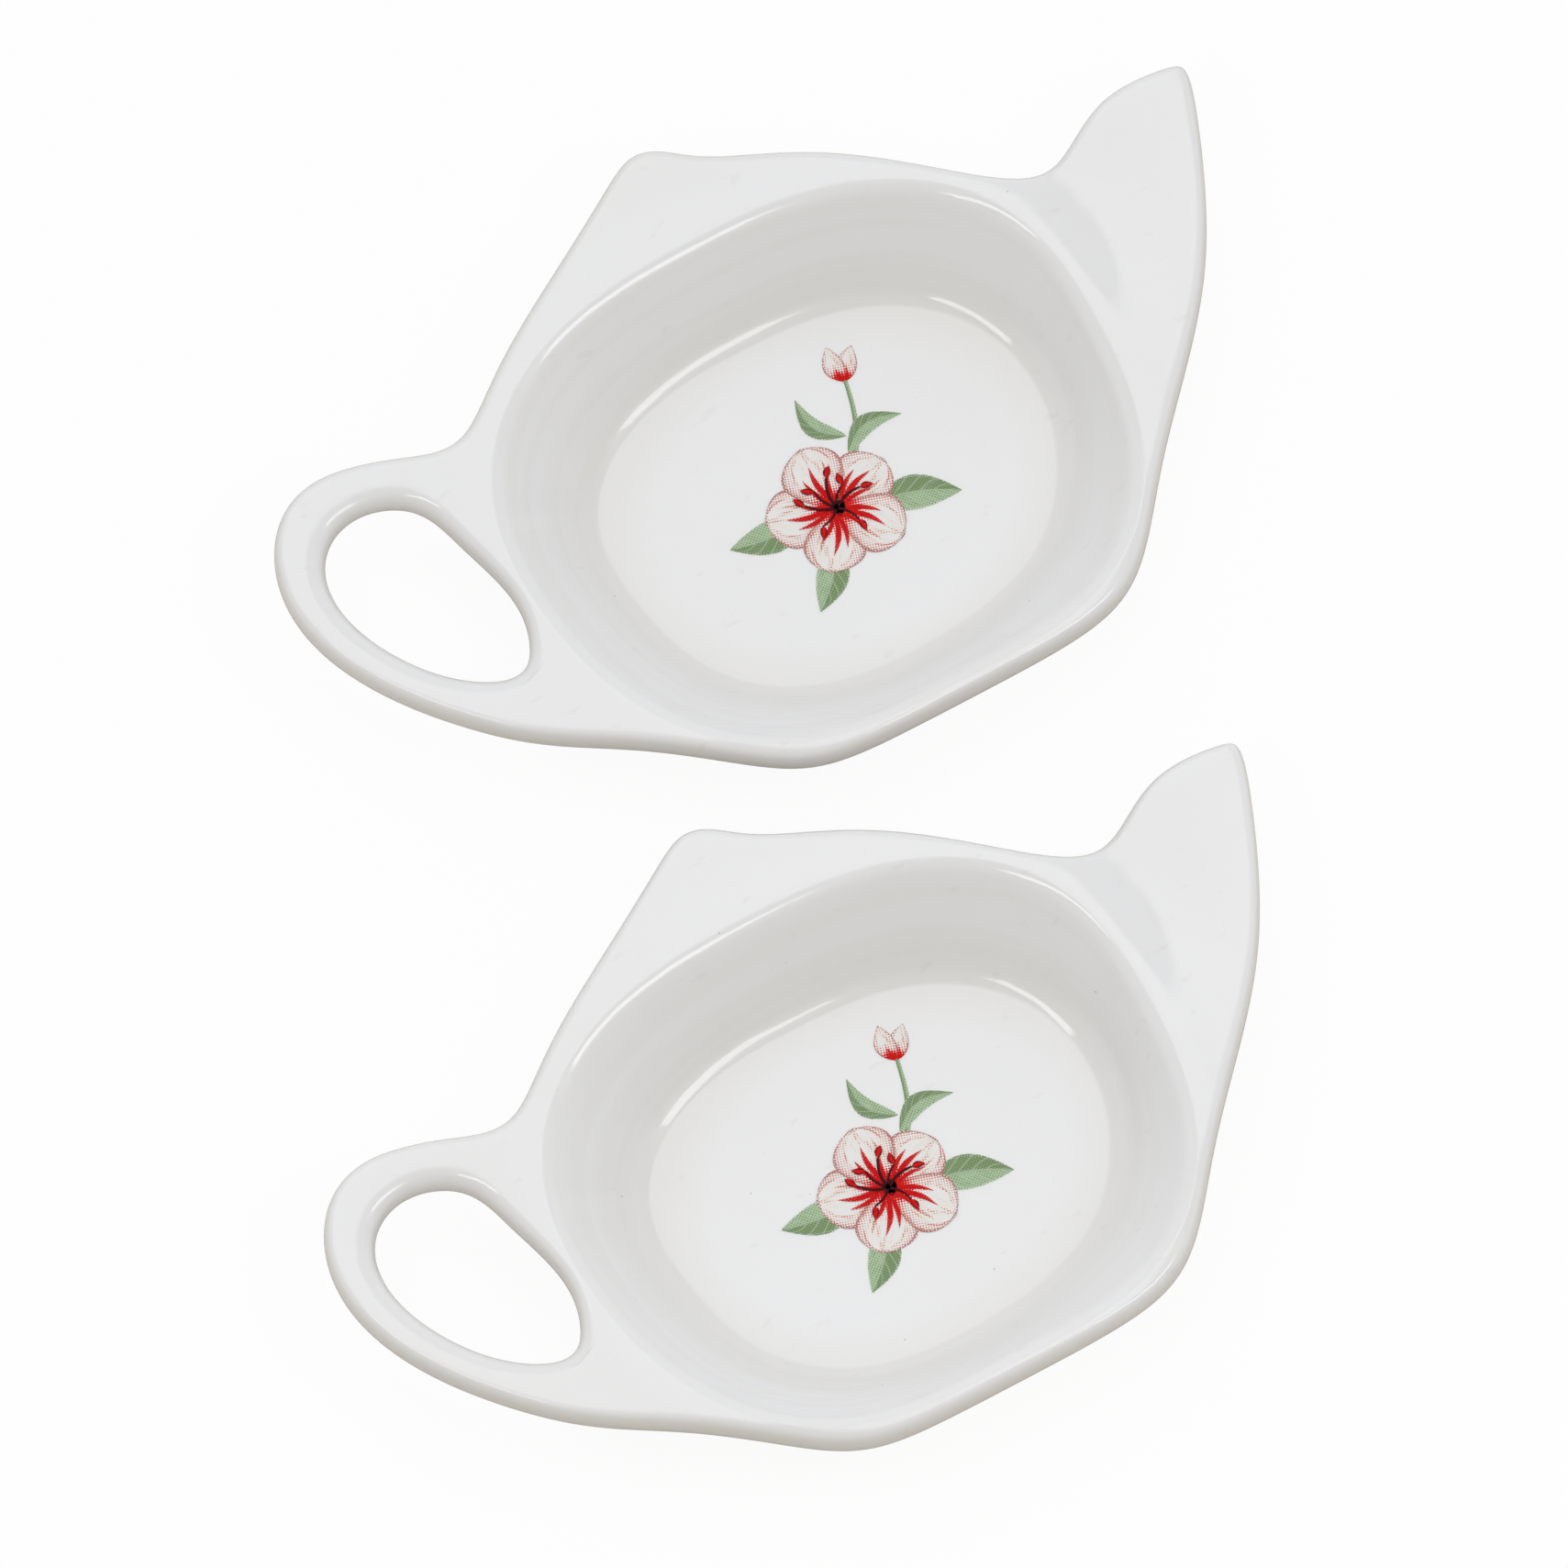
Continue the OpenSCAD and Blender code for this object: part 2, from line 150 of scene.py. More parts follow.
# %% Model the back dish
WELD = 0.002 * MM
VERTEX_LEVEL_ERROR = 0.005 * MM
NEAR = Vector((-0.5, -0.87, 0))
BORDER_CREASE, FAR_CREASE, CREST_CREASE = 0.3, 0.4, 0.4
FAR_SIDE_OVERLAP = 3 * MM
back_low, back_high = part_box("back_dish")
dish = copy_of(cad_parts["back_dish"], "back_rest_porcelain")
choose(dish)
bpy.ops.object.mode_set(mode="EDIT")
bpy.ops.mesh.select_all(action="SELECT")
bpy.ops.mesh.remove_doubles(threshold=WELD)
floor_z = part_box("back_petal_ink")[0].z
recess_z = max(face.calc_center_median().z for face in bmesh.from_edit_mesh(dish.data).faces
               if face.normal.z < -FLAT and face.calc_center_median().z < floor_z)
floor_low, floor_high = rebuild_flat(floor_z, 1, BORDER_CREASE)
rebuild_flat(recess_z, -1, 0)
floor_middle = (floor_low + floor_high) / 2
pick("verts", lambda v: v.co.z > back_high.z - VERTEX_LEVEL_ERROR
     and (v.co - floor_middle).dot(NEAR) > 0)
bpy.ops.transform.edge_crease(value=CREST_CREASE)
pick("verts", lambda v: abs(v.co.z - floor_z) < VERTEX_LEVEL_ERROR
     and floor_low.x - MM < v.co.x < floor_high.x + MM
     and (v.co - floor_middle).dot(NEAR) < FAR_SIDE_OVERLAP)
bpy.ops.transform.edge_crease(value=FAR_CREASE)
bpy.ops.mesh.select_all(action="SELECT")
bpy.ops.mesh.tris_convert_to_quads(face_threshold=math.radians(60),
                                   shape_threshold=math.radians(90))
bpy.ops.object.mode_set(mode="OBJECT")
corners = [len(face.vertices) for face in dish.data.polygons]
print("dish faces", len(corners), "of which triangles", corners.count(3))
print("floor in mm", [round(v / MM, 2) for v in (*floor_low, *floor_high)])

# %% [markdown]
# ### Round it
# Subdivision splits each quad in four and moves the corners towards their neighbours, which is
# just what surface tension does to molten glaze. Two rounds are enough for a close look.

# %% Round it with subdivision
ROUNDS = 2
skin = dish.modifiers.new("Glazed skin", "SUBSURF")
skin.levels = skin.render_levels = ROUNDS
apply_modifiers(dish)
bpy.ops.object.shade_smooth()
print("porcelain faces", len(dish.data.polygons))

# %% [markdown]
# ## Where the glaze pools, and painted shade
# Glaze runs down the wall before it sets and lies thickest in the round between wall and floor.
# That round is painted a little warmer and greyer, for the thicker glaze and also as painted
# shade in the corner between wall and floor. The mesh keeps this as a number on each vertex, so
# that the finish follows the shape on both rests.

# %% Mark the pool of glaze and the painted shade in the corner
GLAZE_AND_SHADE_HEIGHT = 5 * MM
GLAZE_AND_SHADE_STARTS, GLAZE_AND_SHADE_GROWS = 0.8, 0.2
FACES_UP = 0.1
BELOW_RIM = 3 * MM
# Share of a darker, warmer tint near the floor's edge: thicker glaze and painted shade.
glaze_and_shade = dish.data.attributes.new("thick_glaze_and_shade", "FLOAT", "POINT")
floor_half = (floor_high - floor_low) / 2
for vertex, value in zip(dish.data.vertices, glaze_and_shade.data):
    above = (vertex.co.z - floor_z) / GLAZE_AND_SHADE_HEIGHT
    inside = vertex.normal.z > FACES_UP and vertex.co.z < back_high.z - BELOW_RIM
    place = vertex.co - floor_middle
    reach = math.hypot(place.x / floor_half.x, place.y / floor_half.y)
    near_wall = min(1, max(0, (reach - GLAZE_AND_SHADE_STARTS) / GLAZE_AND_SHADE_GROWS))
    value.value = max(0, 1 - above) * near_wall if inside else 0
print("vertices in the pool", sum(value.value > 0 for value in glaze_and_shade.data))

# %% [markdown]
# ## Finishes
# Two effects are used by more than one finish, so each is a node group: the skin of the glaze,
# and the screen of fine dots that transfer prints are made of. A small function places a node,
# sets it and feeds its inputs, which keeps each finish readable from top to bottom. The others
# build on it: arithmetic, mixed colours, noise, a stretched place and a soft step.

# %% Helpers for shader nodes


def put(tree, kind, feeds=None, **settings):
    """Place a node, set its properties and feed its inputs with numbers or with outputs."""
    node = tree.nodes.new(kind)
    for name, value in settings.items():
        setattr(node, name, value)
    for socket, value in (feeds or {}).items():
        if isinstance(value, bpy.types.NodeSocket):
            tree.links.new(value, node.inputs[socket])
        else:
            node.inputs[socket].default_value = value
    return node


def calc(tree, operation, *values):
    """One step of arithmetic, kept between 0 and 1 where its name ends in +."""
    return put(tree, "ShaderNodeMath", dict(enumerate(values)),
               operation=operation.rstrip("+"), use_clamp=operation.endswith("+")).outputs[0]


def blend_colours(tree, share, first, second, mode="MIX"):
    """Mix two colours by a share."""
    node = put(tree, "ShaderNodeMix", data_type="RGBA", blend_type=mode)
    for socket, value in zip((node.inputs[0], node.inputs[6], node.inputs[7]),
                             (share, first, second)):
        if isinstance(value, bpy.types.NodeSocket):
            tree.links.new(value, socket)
        else:
            socket.default_value = value if socket is node.inputs[0] else (*value, 1)
    return node.outputs[2]


def noise(tree, where, scale=1, detail=1):
    """Smooth noise; a greater scale makes it finer."""
    return put(tree, "ShaderNodeTexNoise",
               {"Vector": where, "Scale": scale, "Detail": detail}).outputs[0]


def stretched(tree, where, scale, turn=0):
    """Places scaled along each axis and turned about Z."""
    return put(tree, "ShaderNodeMapping",
               {"Vector": where, "Scale": scale, "Rotation": (0, 0, turn)}).outputs[0]


def ramp(tree, value, start, end):
    """Grow smoothly from 0 to 1 between two values."""
    return put(tree, "ShaderNodeMapRange", {"Value": value, "From Min": start, "From Max": end},
               interpolation_type="SMOOTHSTEP").outputs[0]


def new_group(name, inputs, outputs):
    """An empty node group with its sockets: colours are triples, numbers are numbers."""
    tree = bpy.data.node_groups.new(name, "ShaderNodeTree")
    for title, value in inputs.items():
        kind = "NodeSocketColor" if isinstance(value, tuple) else "NodeSocketFloat"
        socket = tree.interface.new_socket(title, in_out="INPUT", socket_type=kind)
        socket.default_value = (*value, 1) if isinstance(value, tuple) else value
    for title, kind in outputs.items():
        tree.interface.new_socket(title, in_out="OUTPUT", socket_type=kind)
    return tree, tree.nodes.new("NodeGroupInput").outputs, tree.nodes.new("NodeGroupOutput").inputs


# %% [markdown]
# ### The skin of the glaze
# Fired glaze is glassy but not optically flat: it has a slow waviness and a very fine orange
# peel, and on steep walls it sets in faint level runs. Its white drifts a little from place to
# place, use leaves dull smears, and iron in the clay leaves a few pinholes. All of it lies on
# Object coordinates, so it keeps its size in millimetres. The foot ring is wiped clean before
# firing, so there the bare clay shows.

# %% Node group for the glaze
SPECK_SIZE, CELLS_WITHOUT_SPECK = 0.06, 0.955
WIPED_UP_TO, GLAZED_FROM = 0.25 * MM, 0.45 * MM
glaze, given, result = new_group(
    "Glaze skin",
    {"Body": (0.85, 0.85, 0.85), "Glaze and shade colour": (0.76, 0.74, 0.68), "Glaze and shade": 0.0,
     "Bare clay": (0.72, 0.69, 0.63), "Speck": (0.25, 0.16, 0.09)},
    {"Colour": "NodeSocketColor", "Roughness": "NodeSocketFloat", "Height": "NodeSocketFloat"})
place = put(glaze, "ShaderNodeTexCoord").outputs["Object"]
drift = noise(glaze, place, 45, detail=2)
waves = noise(glaze, place, 110)
peel = noise(glaze, place, 1400)
cells = put(glaze, "ShaderNodeTexVoronoi", {"Vector": place, "Scale": 520})
near_point = calc(glaze, "LESS_THAN", cells.outputs["Distance"], SPECK_SIZE)
lottery = put(glaze, "ShaderNodeSeparateColor", {"Color": cells.outputs["Color"]}).outputs[0]
drawn = calc(glaze, "GREATER_THAN", lottery, CELLS_WITHOUT_SPECK)
specks = calc(glaze, "MULTIPLY", near_point, drawn)
runs = noise(glaze, stretched(glaze, place, (14, 14, 700)))
smear = noise(glaze, stretched(glaze, place, (260, 620, 300), turn=0.7), detail=3)
marks = ramp(glaze, smear, 0.66, 0.74)
height = put(glaze, "ShaderNodeSeparateXYZ", {"Vector": place}).outputs["Z"]
bare = put(glaze, "ShaderNodeMapRange",
           {"Value": height, "From Min": WIPED_UP_TO, "From Max": GLAZED_FROM,
            "To Min": 1, "To Max": 0}).outputs[0]
colour = blend_colours(glaze, drift, given["Body"], (0.985, 0.99, 0.995), "MULTIPLY")
# Darker, warmer tint in the round between wall and floor: thicker glaze and painted shade.
colour = blend_colours(glaze, given["Glaze and shade"], colour, given["Glaze and shade colour"])
bands = ramp(glaze, runs, 0.42, 0.62)
colour = blend_colours(glaze, bands, colour, (0.985, 0.982, 0.97), "MULTIPLY")
colour = blend_colours(glaze, calc(glaze, "MULTIPLY", marks, 0.12), colour, (0.6, 0.57, 0.52))
colour = blend_colours(glaze, calc(glaze, "MULTIPLY", specks, 0.4), colour, given["Speck"])
colour = blend_colours(glaze, bare, colour, given["Bare clay"])
glaze.links.new(colour, result["Colour"])
rough = calc(glaze, "MULTIPLY_ADD", drift, 0.05, 0.05)
rough = calc(glaze, "MULTIPLY_ADD", marks, 0.12, rough)
glaze.links.new(calc(glaze, "MULTIPLY_ADD", bare, 0.7, rough), result["Roughness"])
relief = calc(glaze, "MULTIPLY_ADD", peel, 0.02, waves)
glaze.links.new(calc(glaze, "MULTIPLY_ADD", runs, 0.2, relief), result["Height"])
print(glaze.name, "has", len(glaze.nodes), "nodes")

# %% [markdown]
# ### One shader for bare glaze and for ink
# The Principled shader does the gloss: porcelain glaze has an index of refraction of about 1.52.
# A little subsurface light softens the white, as in real porcelain. Ink is the same skin with
# another body colour, so the finish takes the paint as a function. The reflection of the bright
# room would veil dark ink, so ink has hardly any gloss, and no light passes under it.

# %% A finish under the glaze
WHITE = (0.85, 0.85, 0.85)
GLAZE_INDEX = 1.52
GLOSS, INK_GLOSS = 0.5, 0.05
DEPTH_OF_WHITE = 0.12
GLAZE_AND_SHADE_TINT = 0.35


def glazed(name, paint=None):
    """White glaze, or glaze over ink: paint gets the tree and two shares, along and across."""
    made = bpy.data.materials.new(name)
    made.use_nodes = True
    tree = made.node_tree
    shader = tree.nodes["Principled BSDF"]
    skin = put(tree, "ShaderNodeGroup", node_tree=glaze)
    if paint:
        uv = put(tree, "ShaderNodeSeparateXYZ",
                 {"Vector": put(tree, "ShaderNodeTexCoord").outputs["UV"]}).outputs
        tree.links.new(paint(tree, uv["X"], uv["Y"]), skin.inputs["Body"])
    else:
        # The round between wall and floor is tinted darker and warmer: thicker glaze and painted
        # shade.
        glaze_and_shade_share = put(tree, "ShaderNodeAttribute", attribute_name="thick_glaze_and_shade").outputs["Fac"]
        tree.links.new(calc(tree, "MULTIPLY", glaze_and_shade_share, GLAZE_AND_SHADE_TINT), skin.inputs["Glaze and shade"])
    tree.links.new(skin.outputs["Colour"], shader.inputs["Base Color"])
    tree.links.new(skin.outputs["Roughness"], shader.inputs["Roughness"])
    bump = put(tree, "ShaderNodeBump", {"Height": skin.outputs["Height"], "Strength": 0.12,
                                        "Distance": 1 * MM})
    tree.links.new(bump.outputs[0], shader.inputs["Normal"])
    shader.inputs["IOR"].default_value = GLAZE_INDEX
    shader.inputs["Specular IOR Level"].default_value = INK_GLOSS if paint else GLOSS
    shader.inputs["Subsurface Weight"].default_value = 0 if paint else DEPTH_OF_WHITE
    shader.inputs["Subsurface Radius"].default_value = (1, 0.9, 0.75)
    shader.inputs["Subsurface Scale"].default_value = 1.5 * MM
    return made


dish.data.materials.clear()
dish.data.materials.append(glazed("White glazed porcelain"))
print("finish of the dish:", dish.data.materials[0].name)

# %% [markdown]
# ### Two rests from one model
# The second rest of the pair is the same casting, so it is a copy, moved by the step between
# the two CAD dishes. Each rides its own body and takes the place of the plain CAD dish.

# %% Fit the dish to its body and copy it for the front rest
front_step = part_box("front_dish")[0] - back_low
front_dish = copy_of(dish, "front_rest_porcelain", front_step)
for piece, side in ((dish, "back"), (front_dish, "front")):
    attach(piece, side + "_rest")
    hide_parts(side + "_dish")
print("step from back to front in mm", [round(v / MM, 1) for v in front_step])

# %% [markdown]
# ## The printed sprig
# A transfer print is a decal of ceramic ink that melts into the glaze. Here every petal and leaf
# is a film: a flat grid whose rows are narrowed one by one until they have the outline of a
# blade, then given a thickness thinner than a hair. A grid brings its UV map along, so each
# finish knows how far along and across its blade it is. Real prints work just the same way: one
# shape for each area of colour.

# %% Helpers for films of ink
FILM = 0.03 * MM
PETAL = 8.55 * MM
HEART = Vector((20.24, 30.25, 0)) * MM
ROW_REACH = 0.3


def film(name, length, width, outline, sway=0, rows=14, lanes=6):
    """A blade along X: outline gives its width, sway bends it sideways; both in shares."""
    bpy.ops.object.select_all(action="DESELECT")
    bpy.ops.mesh.primitive_grid_add(x_subdivisions=rows, y_subdivisions=lanes, size=1,
                                    location=(0, 0, 0))
    piece = bpy.context.object
    piece.name = name
    bpy.ops.object.mode_set(mode="EDIT")
    bpy.ops.transform.translate(value=(0.5, 0, 0))
    bpy.ops.transform.resize(value=(length, width, 1), center_override=(0, 0, 0))
    for row in range(rows + 1):
        share = row / rows
        pick("verts", lambda v: abs(v.co.x - share * length) < ROW_REACH * length / rows)
        bpy.ops.transform.resize(value=(1, outline(share), 1), center_override=(0, 0, 0))
        bpy.ops.transform.translate(value=(0, sway * length * math.sin(math.pi * share), 0))
    bpy.ops.object.mode_set(mode="OBJECT")
    body = piece.modifiers.new("Thickness", "SOLIDIFY")
    body.thickness, body.offset = FILM, -1
    apply_modifiers(piece)
    return piece


def lay(model, across, up, turn, size, level):
    """A copy of a film over the floor: place in petals, turn in degrees, level in mm."""
    piece = copy_of(model, model.name + " laid")
    piece.location = HEART + Vector((across * PETAL, up * PETAL, floor_z + level * MM))
    piece.rotation_euler.z = math.radians(turn)
    piece.scale = (size, size, 1)
    bpy.ops.object.transform_apply(location=True, rotation=True, scale=True)
    return piece


def print_layer(name, node, finish, films, models):
    """Join films into one piece in place of a CAD node, and copy it for the front rest."""
    choose(*films)
    bpy.ops.object.join()
    piece = bpy.context.object
    piece.name = piece.data.name = "back_" + name
    piece.data.materials.append(finish)
    twin = copy_of(piece, "front_" + name, front_step)
    for made, side in ((piece, "back"), (twin, "front")):
        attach(made, side + "_rest")
        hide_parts(f"{side}_{node}")
    choose(*models)
    bpy.ops.object.delete()
    print(piece.name, len(piece.data.polygons), "faces")


# %% [markdown]
# ### A screen of dots
# Printers make pale tints from small dots of strong ink. Voronoi cells without randomness are a
# square grid, and the distance to the middle of each cell, cut off at a radius, is a dot. The
# radius follows from the share of ink that is wanted, and from a share of 0.8 upwards the gaps
# between the dots fill until the ink is solid.

# %% Node group for the dots
DOT_AREA, DOT_SHARPNESS = 0.55, 5
dots, given, result = new_group("Transfer dots", {"Ink share": 0.5, "Turn": 0.35},
                                {"Dots": "NodeSocketFloat"})
place = put(dots, "ShaderNodeTexCoord").outputs["Object"]
turned = put(dots, "ShaderNodeVectorRotate", {"Vector": place, "Angle": given["Turn"]},
             rotation_type="Z_AXIS").outputs[0]
cells = put(dots, "ShaderNodeTexVoronoi", {"Vector": turned, "Scale": 3200, "Randomness": 0},
            voronoi_dimensions="2D").outputs["Distance"]
radius = calc(dots, "SQRT", calc(dots, "MULTIPLY", given["Ink share"], DOT_AREA))
inside = calc(dots, "SUBTRACT", radius, cells)
screen = calc(dots, "MULTIPLY_ADD+", inside, DOT_SHARPNESS, 0.4)
solid = calc(dots, "MULTIPLY_ADD+", given["Ink share"], 5, -4)
dots.links.new(calc(dots, "MAXIMUM", screen, solid), result["Dots"])
print(dots.name, "has", len(dots.nodes), "nodes")


def screened(tree, share, below, ink, turn=0.35):
    """Print an ink in dots over a colour."""
    screen = put(tree, "ShaderNodeGroup", {"Ink share": share, "Turn": turn}, node_tree=dots)
    return blend_colours(tree, screen.outputs[0], below, ink)


def off_middle(tree, across):
    """0 on the middle line of a blade, 1 on its edges."""
    return calc(tree, "ABSOLUTE", calc(tree, "MULTIPLY_ADD", across, 2, -1))


def strokes(tree, along, across, length, fine):
    """Streaks that run along a blade."""
    place = put(tree, "ShaderNodeCombineXYZ", {"X": calc(tree, "MULTIPLY", along, length),
                                               "Y": calc(tree, "MULTIPLY", across, fine)})
    return noise(tree, place.outputs[0], detail=2)


# %% [markdown]
# ### Leaves
# Sage green, darker on one half, with a pale midrib and side veins. The ink thins out at the
# edge, where the dots grow small.

# %% Leaf ink
def leaf_paint(tree, along, across):
    side = off_middle(tree, across)
    dark = calc(tree, "MULTIPLY", ramp(tree, across, 0.4, 0.62), 0.5)
    dark = calc(tree, "MULTIPLY_ADD", strokes(tree, along, across, 5, 9), 0.5, dark)
    green = screened(tree, calc(tree, "SUBTRACT+", dark, 0.1), (0.42, 0.56, 0.36),
                     (0.19, 0.28, 0.13), 0.9)
    ribs = calc(tree, "FRACT", calc(tree, "MULTIPLY_ADD", along, 6,
                                    calc(tree, "MULTIPLY", side, -1.4)))
    rib = calc(tree, "MAXIMUM", calc(tree, "LESS_THAN", ribs, 0.14),
               calc(tree, "LESS_THAN", side, 0.07))
    green = blend_colours(tree, calc(tree, "MULTIPLY", rib, 0.45), green, (0.5, 0.6, 0.46))
    edge = calc(tree, "MULTIPLY_ADD", ramp(tree, side, 0.75, 1), -0.5, 1)
    return screened(tree, edge, WHITE, green)


def leaf_outline(share):
    return max(0.02, math.sin(math.pi * share ** 0.85) ** 0.9)


leaf = film("Leaf", 1.18 * PETAL, 0.52 * PETAL, leaf_outline, 0.06)
bent_leaf = film("Bent leaf", 1.1 * PETAL, 0.34 * PETAL, leaf_outline, 0.2)
stem = film("Stem", 1.75 * PETAL, 0.1 * PETAL, lambda share: 1 - 0.4 * share, -0.1, lanes=2)
green_films = [lay(*row) for row in (
    (stem, 0.15, 0.1, 58, 1, 0.03),
    (leaf, 0.5, -0.2, -22, 1, 0.035),
    (leaf, -0.3, -0.45, 228, 0.86, 0.04),
    (leaf, -0.45, 0.1, 174, 0.95, 0.045),
    (bent_leaf, 0.55, 0.62, 8, 0.85, 0.035),
    (bent_leaf, 0.66, 0.85, 112, 0.8, 0.04))]
print_layer("printed_leaves", "leaf_ink", glazed("Sage transfer ink", leaf_paint),
            green_films, [leaf, bent_leaf, stem])

# %% [markdown]
# ### Petals
# Nearly the white of the glaze, with cream in it. Dots of pink deepen towards the edges and along
# soft streaks, the throat is red, and a thin red-brown line of dots closes each petal.

# %% Petal ink
def petal_paint(tree, along, across):
    side = off_middle(tree, across)
    streak = strokes(tree, along, across, 2.5, 11)
    warm = blend_colours(tree, ramp(tree, streak, 0.35, 0.65), (0.85, 0.84, 0.83),
                         (0.84, 0.79, 0.73))
    share = calc(tree, "MULTIPLY", ramp(tree, side, 0.5, 1.1), 0.34)
    share = calc(tree, "MULTIPLY_ADD", ramp(tree, streak, 0.52, 0.7), 0.5, share)
    share = calc(tree, "MULTIPLY_ADD", ramp(tree, along, 0.6, 0.15), 0.25, share)
    pink = screened(tree, share, warm, (0.62, 0.2, 0.16))
    line = calc(tree, "MAXIMUM", ramp(tree, side, 0.86, 0.97), ramp(tree, along, 0.93, 0.99))
    pink = screened(tree, calc(tree, "MULTIPLY", line, 0.4), pink, (0.4, 0.17, 0.14), 1.1)
    throat = calc(tree, "MULTIPLY_ADD", streak, 0.5, calc(tree, "MULTIPLY", along, -1.6))
    throat = calc(tree, "SUBTRACT", throat, calc(tree, "MULTIPLY", side, 0.25))
    return screened(tree, ramp(tree, throat, -0.5, 0.0), pink, (0.62, 0.004, 0.003))


def petal_outline(share):
    return max(0.05, math.sin(math.pi * min(1, share ** 1.5)) ** 0.62 + 0.1 * (1 - share))


petal = film("Petal", PETAL, 0.86 * PETAL, petal_outline, 0.03, rows=18, lanes=8)
bud = film("Bud petal", 0.56 * PETAL, 0.3 * PETAL, leaf_outline, 0.05)
petal_films = [lay(petal, 0, 0, turn, size, 0.05 + 0.01 * order) for order, (turn, size) in
               enumerate([(162, 1), (18, 0.97), (90, 1), (234, 0.96), (306, 1)])]
petal_films += [lay(bud, 1.08, 1.55, 52, 0.95, 0.05), lay(bud, 1.04, 1.56, 84, 1, 0.06)]
print_layer("printed_petals", "petal_ink", glazed("Blush transfer ink", petal_paint),
            petal_films, [petal, bud])

# %% [markdown]
# ### Red streaks
# Thin blades of strong red run out from the throat along each petal and fade into dots.

# %% Streak ink
def streak_paint(tree, along, across):
    side = off_middle(tree, across)
    share = calc(tree, "SUBTRACT+", calc(tree, "MULTIPLY_ADD", along, -0.8, 1.4),
                 calc(tree, "MULTIPLY", side, 0.3))
    return screened(tree, share, (0.8, 0.5, 0.44), (0.6, 0.003, 0.004), 1.1)


def around(turn, reach):
    """A place at an angle and a distance from the heart, in petals."""
    return reach * math.cos(math.radians(turn)), reach * math.sin(math.radians(turn))


PETAL_TURNS = (18, 90, 162, 234, 306)
STREAK_START = 0.14
streak = film("Streak", 0.5 * PETAL, 0.07 * PETAL, leaf_outline, 0.08, lanes=3)
streak_films = [lay(streak, *around(turn + side, STREAK_START), turn + side, size, 0.13)
                for turn in PETAL_TURNS
                for side, size in ((-17, 0.85), (2, 1.15), (19, 0.95))]
print_layer("printed_streaks", "vein_ink", glazed("Red transfer ink", streak_paint),
            streak_films, [streak])

# %% [markdown]
# ### Stamens
# Dark threads that end in red anthers. Both are the same kind of blade; a number kept in the
# mesh tells the finish which is which.

# %% Stamen ink
def stamen_paint(tree, along, across):
    anther = put(tree, "ShaderNodeAttribute", attribute_name="anther").outputs["Fac"]
    dark = blend_colours(tree, along, (0.035, 0.002, 0.004), (0.09, 0.003, 0.006))
    red = screened(tree, ramp(tree, off_middle(tree, across), 0.2, 1.1), (0.66, 0.005, 0.006),
                   (0.16, 0.002, 0.004), 0.9)
    return blend_colours(tree, anther, dark, red)


THREAD = 0.44
thread = film("Thread", THREAD * PETAL, 0.04 * PETAL, lambda share: 1.2 - 0.4 * share, 0.1,
              lanes=2)
anther = film("Anther", 0.19 * PETAL, 0.1 * PETAL, leaf_outline, 0.04, rows=8, lanes=3)
heart = film("Heart", 0.24 * PETAL, 0.16 * PETAL, leaf_outline, rows=8, lanes=4)
for model, value in ((thread, 0), (anther, 1), (heart, 0.35)):
    mark = model.data.attributes.new("anther", "FLOAT", "POINT")
    for vertex in mark.data:
        vertex.value = value
stamen_films = [lay(heart, x, y, turn, 1, 0.15) for x, y, turn in
                ((0.02, -0.11, 80), (-0.1, -0.02, 10), (0.06, 0.09, 250))]
for order, (turn, size) in enumerate([(14, 1), (47, 0.8), (78, 1.05), (112, 0.9), (146, 1),
                                      (205, 0.75), (300, 0.8)]):
    tilt = 35 if order % 2 else -30
    stamen_films.append(lay(thread, 0, 0, turn, size, 0.16))
    stamen_films.append(lay(anther, *around(turn, THREAD * size), turn + tilt, 1, 0.18))
print_layer("printed_stamens", "stamen_ink", glazed("Maroon transfer ink", stamen_paint),
            stamen_films, [thread, anther, heart])

# %% [markdown]
# ## The light table
# Small goods are photographed on a lit white sheet, so the background turns white without any
# more light on the goods. Light Path tells the camera's rays from all others: the camera sees a
# glowing sheet with a hint of shadow, and the porcelain is lit by plain warm grey paper.

# %% Light table
TABLE_SIZE = 40
TABLE_GAP = 0.05 * MM
GLOW = 0.93
bpy.ops.object.select_all(action="DESELECT")
bpy.ops.mesh.primitive_plane_add(size=TABLE_SIZE, location=(0, 0, -TABLE_GAP))
table = bpy.context.object
table.name = "light_table"
surface = bpy.data.materials.new("Pale table")
surface.use_nodes = True
tree = surface.node_tree
tree.nodes.clear()
seen = put(tree, "ShaderNodeLightPath").outputs["Is Camera Ray"]
matt = put(tree, "ShaderNodeBsdfDiffuse", {
    "Color": blend_colours(tree, seen, (0.66, 0.62, 0.55), (0.95, 0.95, 0.95))}).outputs[0]
glow = put(tree, "ShaderNodeEmission", {"Color": (1, 1, 1, 1), "Strength": 1}).outputs[0]
lit = put(tree, "ShaderNodeMixShader", {0: calc(tree, "MULTIPLY", seen, GLOW), 1: matt, 2: glow})
put(tree, "ShaderNodeOutputMaterial", {"Surface": lit.outputs[0]})
table.data.materials.append(surface)
print("table below the rests in mm", round(-table.location.z / MM, 2))

# %% [markdown]
# ## The studio
# Glaze is a mirror, so the room matters more than the lamps. The sky is bright behind the goods
# and darker and warmer on the camera's side, which greys the walls that face the camera. A
# canopy of soft cloth hangs where the flat floor of the well mirrors it. Two soft boxes draw the
# long highlights along rim and well, and a larger, weaker one gives the right lamp a soft edge.

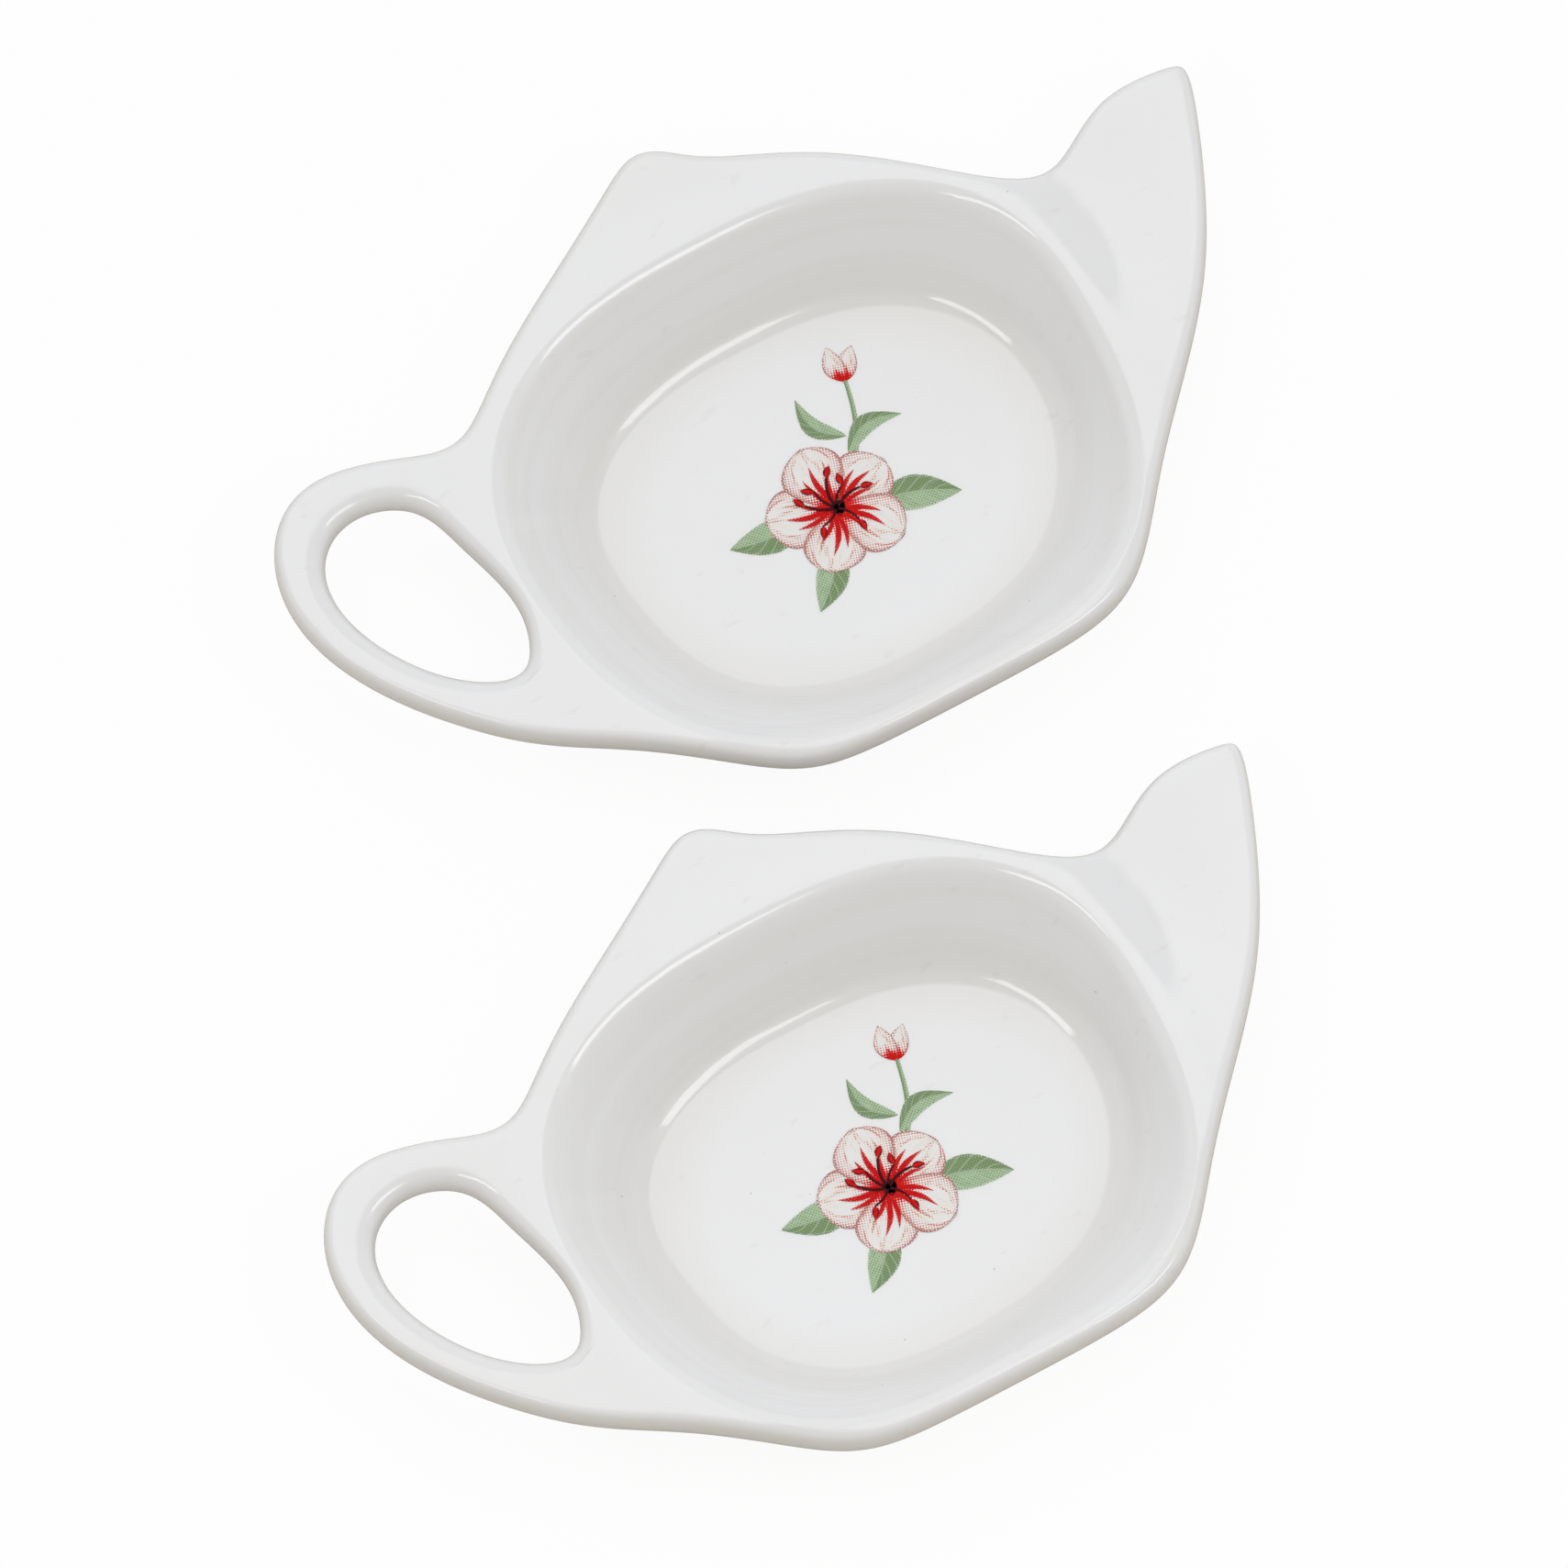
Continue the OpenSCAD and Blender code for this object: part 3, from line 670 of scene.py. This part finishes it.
# %% Sky and lamps
VIEW_AZIMUTH, VIEW_ELEVATION = -31, 67
CANOPY = (174, 65)
CANOPY_ENDS, CANOPY_FULL = math.cos(math.radians(26)), math.cos(math.radians(19))
scene = bpy.context.scene
world = bpy.data.worlds.new("Studio")
scene.world = world
world.use_nodes = True
tree = world.node_tree
tree.nodes.clear()
direction = put(tree, "ShaderNodeTexCoord").outputs["Generated"]
rise = put(tree, "ShaderNodeSeparateXYZ", {"Vector": direction}).outputs["Z"]


def towards(azimuth, elevation):
    """The direction of a place in the sky, from its angles in degrees."""
    a, e = math.radians(azimuth), math.radians(elevation)
    return Vector((math.sin(a) * math.cos(e), -math.cos(a) * math.cos(e), math.sin(e)))


def facing(azimuth, elevation):
    """How squarely a direction of the sky points to a place, as a cosine."""
    return put(tree, "ShaderNodeVectorMath", {0: direction, 1: towards(azimuth, elevation)},
               operation="DOT_PRODUCT").outputs["Value"]


low = blend_colours(tree, ramp(tree, facing(VIEW_AZIMUTH, 0), -0.2, 0.7), (0.8, 0.8, 0.81),
                    (0.52, 0.48, 0.41))
light = blend_colours(tree, ramp(tree, rise, 0.35, 0.8), low, (0.34, 0.343, 0.352))
canopy = ramp(tree, facing(*CANOPY), CANOPY_ENDS, CANOPY_FULL)
light = blend_colours(tree, canopy, light, (1.85, 1.865, 1.9))
seen = put(tree, "ShaderNodeLightPath").outputs["Is Camera Ray"]
light = blend_colours(tree, seen, light, (1, 1, 1))
sky = put(tree, "ShaderNodeBackground", {"Color": light, "Strength": 1})
put(tree, "ShaderNodeOutputWorld", {"Surface": sky.outputs[0]})


def soft_box(name, azimuth, elevation, distance, size, power):
    """A rectangular lamp that looks at the rests."""
    lamp = bpy.data.lights.new(name, "AREA")
    lamp.shape = "RECTANGLE"
    lamp.size, lamp.size_y = size
    lamp.energy = power
    holder = bpy.data.objects.new(name, lamp)
    scene.collection.objects.link(holder)
    holder.location = distance * towards(azimuth, elevation)
    holder.rotation_euler = holder.location.to_track_quat("Z", "Y").to_euler()
    holder.visible_camera = False


soft_box("Right lamp", 38, 58, 0.9, (0.4, 0.2), 1.0)
soft_box("Right glow", 38, 57, 0.95, (0.65, 0.42), 0.45)
soft_box("Left lamp", -84, 61, 0.9, (0.48, 0.15), 1.0)

# %% [markdown]
# ## The camera
# The photograph shows hardly any perspective: both rests come out the same size. A very long
# lens far away comes close to that, and an even longer one would stand farther off than the
# other views of this scene can look. Its distance follows from the width that the picture holds.

# %% Camera
IMAGE_SIDE = 1709
PIXELS_PER_MM = 9.385
AIM = Vector((-2.01, 5.16, 0)) * MM
lens = bpy.data.cameras.new("Photo camera")
lens.sensor_width = 36
lens.lens = 1700
camera = bpy.data.objects.new("Photo camera", lens)
scene.collection.objects.link(camera)
scene.camera = camera
back = towards(VIEW_AZIMUTH, VIEW_ELEVATION)
frame_side = IMAGE_SIDE / PIXELS_PER_MM * MM
camera.location = AIM + back * frame_side * lens.lens / lens.sensor_width
camera.rotation_euler = back.to_track_quat("Z", "Y").to_euler()
lens.clip_start, lens.clip_end = 0.05, 100
print("camera distance in m", round((camera.location - AIM).length, 2))
scene.view_settings.view_transform = "Standard"
